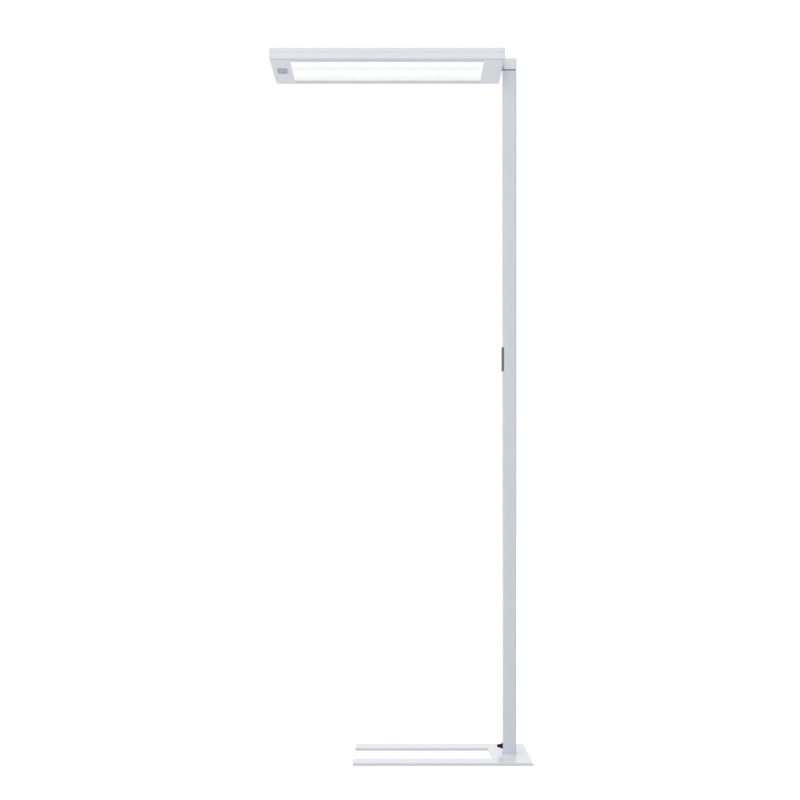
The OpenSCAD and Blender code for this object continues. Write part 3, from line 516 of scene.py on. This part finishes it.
def key_marks():
    """Pale inlays in the keys' sunk marks: a plus, a ring and a minus."""
    reach = 2.5 * MM
    mark_t = 0.9 * MM
    sink = 0.2 * MM
    proud = 0.12 * MM
    half = mark_t / 2
    hole_r = reach - mark_t
    ring = [(hole_r, 0), (reach, 0), (reach, proud), (hole_r, proud)]
    minus = [(-reach, -half), (reach, -half), (reach, half), (-reach, half)]
    shapes = (("key_up", lambda centre: plate(plus_outline(reach, half), centre, proud)),
              ("key_power", lambda centre: lathe(ring, centre)),
              ("key_down", lambda centre: plate(minus, centre, proud)))
    for node, shape in shapes:
        low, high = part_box(node)
        bm = shape(Vector((low.x + sink, 0, (low.z + high.z) / 2)))
        piece(bm, node + "_mark", body_of(node), PLASTIC_MARK)


def plus_outline(reach, half):
    """Corners of a plus sign, anticlockwise."""
    corners = []
    for turn in range(4):
        c = math.cos(turn * math.pi / 2)
        s = math.sin(turn * math.pi / 2)
        for y, z in ((reach, -half), (reach, half), (half, half)):
            corners.append((y * c - z * s, y * s + z * c))
    return corners


def neck():
    block_edge = 0.8 * MM
    cap_edge = 0.25 * MM
    outer_band = 5.5 * MM
    low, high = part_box("neck_block")

    def on_top(p):
        return p.z > high.z - FLUSH

    def outside(p):
        at_end = on_top(p) or p.z < low.z + FLUSH
        return at_end and max(abs(p.x), abs(p.y)) > high.x - outer_band

    dressed("neck_block", PAINT_HEAD, (block_edge, 3, outside))
    dressed("neck_cap", PAINT_HEAD, (cap_edge, 2, on_top))
    coat("neck_spacer", PLASTIC_DARK)


def head():
    outer_edge = 1.2 * MM
    parting_edge = 0.25 * MM
    window_edge = 0.4 * MM
    screw_edge = 0.12 * MM
    side_band = 4 * MM
    window_band = 3 * MM
    low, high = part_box("head_lower_shell")
    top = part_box("head_upper_shell")[1].z
    window_left = window_edges()[0]

    def on_side(p):
        return (p.x < low.x + side_band or p.x > high.x - side_band
                or p.y < low.y + side_band or p.y > high.y - side_band)

    def lower_rim(p):
        return p.z < low.z + FLUSH and on_side(p)

    def lower_parting(p):
        return p.z > high.z - FLUSH and on_side(p)

    def window_rim(p):
        return p.z < low.z + FLUSH and not on_side(p) and p.x > window_left - window_band

    def on_top(p):
        return p.z > top - FLUSH

    def upper_rim(p):
        return on_top(p) and on_side(p)

    shell = dressed("head_lower_shell", PAINT_HEAD, (outer_edge, 4, lower_rim),
                    (parting_edge, 2, lower_parting), (window_edge, 2, window_rim))
    # The rails are painted greyer, partly as painted shade
    paint_rails_and_shade(shell)
    dressed("head_upper_shell", PAINT_HEAD, (outer_edge, 4, upper_rim))
    dressed("shell_screws", METAL, (screw_edge, 1, on_top))
    # The lining glows as painted light
    window_lining()
    coat("diffuser_front", DIFFUSER)
    coat("diffuser_rear", DIFFUSER)
    # The rib glows as painted light
    coat("centre_rib", RIB_PAINTED_LIGHT)
    coat("uplight_cover", UPLIGHT)


def paint_rails_and_shade(shell):
    """The underside's long rails get a greyer paint than the covers over the head's two ends:
    partly a two-tone finish, partly painted shade for the dark lines along the underside's edges
    and beside the window.
    """
    cover_inset = 14 * MM
    downward = -0.99
    low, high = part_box("head_lower_shell")
    left, right, _ = window_edges()
    cover_y = high.y - cover_inset
    bm = bmesh.new()
    bm.from_mesh(shell.data)

    def underneath():
        return [face for face in bm.faces
                if face.normal.z < downward and face.calc_center_median().z < low.z + FLUSH]

    for place, normal in (((left, 0, 0), (1, 0, 0)), ((right, 0, 0), (1, 0, 0)),
                          ((0, cover_y, 0), (0, 1, 0)), ((0, -cover_y, 0), (0, 1, 0))):
        faces = underneath()
        around = {edge for face in faces for edge in face.edges}
        corners = {vertex for face in faces for vertex in face.verts}
        bmesh.ops.bisect_plane(bm, geom=[*corners, *around, *faces], dist=WELD,
                               plane_co=place, plane_no=normal)
    for face in underneath():
        middle = face.calc_center_median()
        if abs(middle.y) > cover_y or left < middle.x < right:
            face.material_index = 1
    bm.to_mesh(shell.data)
    bm.free()
    shell.data.materials.append(PAINT_RAIL_AND_SHADE)


def window_edges():
    """Left end, right end and half width of the lit window in the head's underside."""
    outer_band = 10 * MM
    low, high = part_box("head_lower_shell")
    inner = []
    for vertex in frame["nodes"]["head_lower_shell"].data.vertices:
        p = vertex.co
        margin = min(p.x - low.x, high.x - p.x, p.y - low.y, high.y - p.y)
        if p.z < low.z + FLUSH and margin > outer_band:
            inner.append(p)
    half_w = max(abs(p.y) for p in inner)
    ends = [p.x for p in inner if abs(p.y) > half_w - FLUSH]
    return min(ends), max(ends), half_w


def window_lining():
    """Frame on the recess walls, between the shell's lip and the diffuser; it glows as painted
    light, standing in for the diffuser's light falling on the walls.
    """
    wall = 0.25 * MM
    lip = 0.4 * MM
    gap = 0.02 * MM
    left, right, half_w = window_edges()
    low_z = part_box("head_lower_shell")[0].z + lip
    high_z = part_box("diffuser_front")[0].z - gap
    bm = bmesh.new()
    rings = []
    for inset, z in ((gap, low_z), (gap, high_z), (wall, high_z), (wall, low_z)):
        corners = ((left + inset, inset - half_w), (right - inset, inset - half_w),
                   (right - inset, half_w - inset), (left + inset, half_w - inset))
        rings.append([bm.verts.new((x, y, z)) for x, y in corners])
    closed_tube(bm, rings)
    piece(bm, "window_lining", "head", LINING_PAINTED_LIGHT)


def sensor():
    bezel_edge = 0.5 * MM
    dark_share = 0.72  # the lens's dark middle, as a share of its radius
    bezel_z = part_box("sensor_housing")[0].z
    dressed("sensor_housing", PLASTIC_SENSOR, (bezel_edge, 3, lambda p: p.z < bezel_z + FLUSH))
    coat("light_eye", PLASTIC_EYE)
    low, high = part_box("sensor_lens")
    apex = ((low.x + high.x) / 2, (low.y + high.y) / 2, low.z)
    dark_r = dark_share * (high.x - low.x) / 2
    coat("sensor_lens", ringed("lens_plastic", apex, dark_r, LENS_DARK, LENS_RIM))


def hidden_pieces():
    """Pieces inside the casings keep their CAD shape and get their finish."""
    finishes = {
        METAL: ("foot_insert", "base_screws", "terminal_bracket", "swivel_bush", "swivel_spigot",
                "wave_washer", "spigot_nut", "stop_pin", "neck_screws", "head_anchor",
                "shell_spacers", "gear_tray"),
        PLASTIC_BLACK: ("gland_nut", "lead_splice", "control_lead", "driver_lead", "sensor_lead",
                        "tact_switches"),
        PLASTIC_GEAR: ("post_lead", "head_lead", "led_driver", "control_module"),
        PLASTIC_WHITE: ("mains_terminal", "lead_connector", "head_terminal", "down_reflector",
                        "down_led_boards", "up_led_boards"),
        BOARD: ("control_board", "sensor_board"),
    }
    for material, nodes in finishes.items():
        for node in nodes:
            coat(node, material)


# ---- Stage, light and camera ----

FLOOR_SIZE = 60.0
FLOOR_ALBEDO = (0.72, 0.72, 0.72)
FLOOR_LIFT = 0.56
SKY_LEFT = 0.74
SKY_RIGHT = 0.40
SKY_TINT = (0.97, 0.985, 1.0)

KEY_SIZE = 2.6
KEY_WATTS = 62
KEY_PLACE = (-0.9, -4.8, 3.4)
KEY_AIM = (-0.2, 0, 1.6)
TOP_SPREAD = math.radians(50)
TOP_STRENGTH = 1.05
TOP_PLACE = (-1.4, 0.4, 4.6)
TOP_AIM = (-0.4, 0, 0)

# Camera of the photograph: level, looking along +Y
PHOTO_PX = 800
FOCAL_PX = 1800
HORIZON_PX = 500
SENSOR_MM = 36
CAMERA_PLACE = (-0.3066, -5.05, 0.718)
CAMERA_REACH = 100


def seen_directly(tree):
    """1 for camera, mirror and see-through rays, 0 for the light that falls on things."""
    path = tree.nodes.new("ShaderNodeLightPath")
    total = path.outputs["Is Camera Ray"]
    for name in ("Is Glossy Ray", "Is Transmission Ray"):
        more = tree.nodes.new("ShaderNodeMath")
        more.operation = "MAXIMUM"
        tree.links.new(total, more.inputs[0])
        tree.links.new(path.outputs[name], more.inputs[1])
        total = more.outputs["Value"]
    return total


def floor():
    """Pale floor, seen only from above, so that a view from below shows the lamp."""
    material = bpy.data.materials.new("studio_floor")
    material.use_nodes = True
    tree = material.node_tree
    tree.nodes.clear()
    matte = tree.nodes.new("ShaderNodeBsdfDiffuse")
    matte.inputs["Color"].default_value = (*FLOOR_ALBEDO, 1)
    lift = tree.nodes.new("ShaderNodeEmission")
    share = tree.nodes.new("ShaderNodeMath")
    share.operation = "MULTIPLY"
    share.inputs[1].default_value = FLOOR_LIFT
    tree.links.new(seen_directly(tree), share.inputs[0])
    tree.links.new(share.outputs["Value"], lift.inputs["Strength"])
    both = tree.nodes.new("ShaderNodeAddShader")
    tree.links.new(matte.outputs["BSDF"], both.inputs[0])
    tree.links.new(lift.outputs["Emission"], both.inputs[1])
    side = tree.nodes.new("ShaderNodeNewGeometry")
    clear = tree.nodes.new("ShaderNodeBsdfTransparent")
    one_sided = tree.nodes.new("ShaderNodeMixShader")
    tree.links.new(side.outputs["Backfacing"], one_sided.inputs["Fac"])
    tree.links.new(both.outputs["Shader"], one_sided.inputs[1])
    tree.links.new(clear.outputs["BSDF"], one_sided.inputs[2])
    out = tree.nodes.new("ShaderNodeOutputMaterial")
    tree.links.new(one_sided.outputs["Shader"], out.inputs["Surface"])
    bpy.ops.mesh.primitive_plane_add(size=FLOOR_SIZE)
    plane = bpy.context.active_object
    plane.name = "studio_floor"
    plane.data.materials.append(material)


def sky():
    """Soft light that is stronger from the left; seen directly, the sky is white."""
    world = bpy.data.worlds.new("studio_sky")
    bpy.context.scene.world = world
    world.use_nodes = True
    tree = world.node_tree
    light = tree.nodes["Background"]
    light.inputs["Color"].default_value = (*SKY_TINT, 1)
    coordinates = tree.nodes.new("ShaderNodeTexCoord")
    split = tree.nodes.new("ShaderNodeSeparateXYZ")
    slope = tree.nodes.new("ShaderNodeMapRange")
    slope.inputs["From Min"].default_value = -1
    slope.inputs["To Min"].default_value = SKY_LEFT
    slope.inputs["To Max"].default_value = SKY_RIGHT
    tree.links.new(coordinates.outputs["Generated"], split.inputs["Vector"])
    tree.links.new(split.outputs["X"], slope.inputs["Value"])
    tree.links.new(slope.outputs["Result"], light.inputs["Strength"])
    white = tree.nodes.new("ShaderNodeBackground")
    white.inputs["Color"].default_value = (1, 1, 1, 1)
    mix = tree.nodes.new("ShaderNodeMixShader")
    tree.links.new(seen_directly(tree), mix.inputs["Fac"])
    tree.links.new(light.outputs["Background"], mix.inputs[1])
    tree.links.new(white.outputs["Background"], mix.inputs[2])
    tree.links.new(mix.outputs["Shader"], tree.nodes["World Output"].inputs["Surface"])


def aimed(name, data, place, aim):
    """Lamp at a place that looks at a point."""
    lamp = bpy.data.objects.new(name, data)
    bpy.context.scene.collection.objects.link(lamp)
    lamp.location = place
    lamp.rotation_euler = (Vector(aim) - Vector(place)).to_track_quat("-Z", "Y").to_euler()


def lights():
    """A large square lamp near the camera, and an even soft light from above."""
    key = bpy.data.lights.new("key_light", "AREA")
    key.size = KEY_SIZE
    key.energy = KEY_WATTS
    aimed("key_light", key, KEY_PLACE, KEY_AIM)
    top = bpy.data.lights.new("top_light", "SUN")
    top.angle = TOP_SPREAD
    top.energy = TOP_STRENGTH
    aimed("top_light", top, TOP_PLACE, TOP_AIM)


def camera():
    data = bpy.data.cameras.new("photo_camera")
    data.sensor_width = SENSOR_MM
    data.lens = FOCAL_PX / PHOTO_PX * SENSOR_MM
    data.shift_y = (HORIZON_PX - PHOTO_PX / 2) / PHOTO_PX
    data.clip_end = CAMERA_REACH
    view = bpy.data.objects.new("photo_camera", data)
    bpy.context.scene.collection.objects.link(view)
    view.location = CAMERA_PLACE
    view.rotation_euler = (math.pi / 2, 0, 0)
    bpy.context.scene.camera = view


base()
post()
gland()
controls()
neck()
head()
sensor()
hidden_pieces()
floor()
sky()
lights()
camera()
bpy.context.scene.view_settings.view_transform = "Standard"
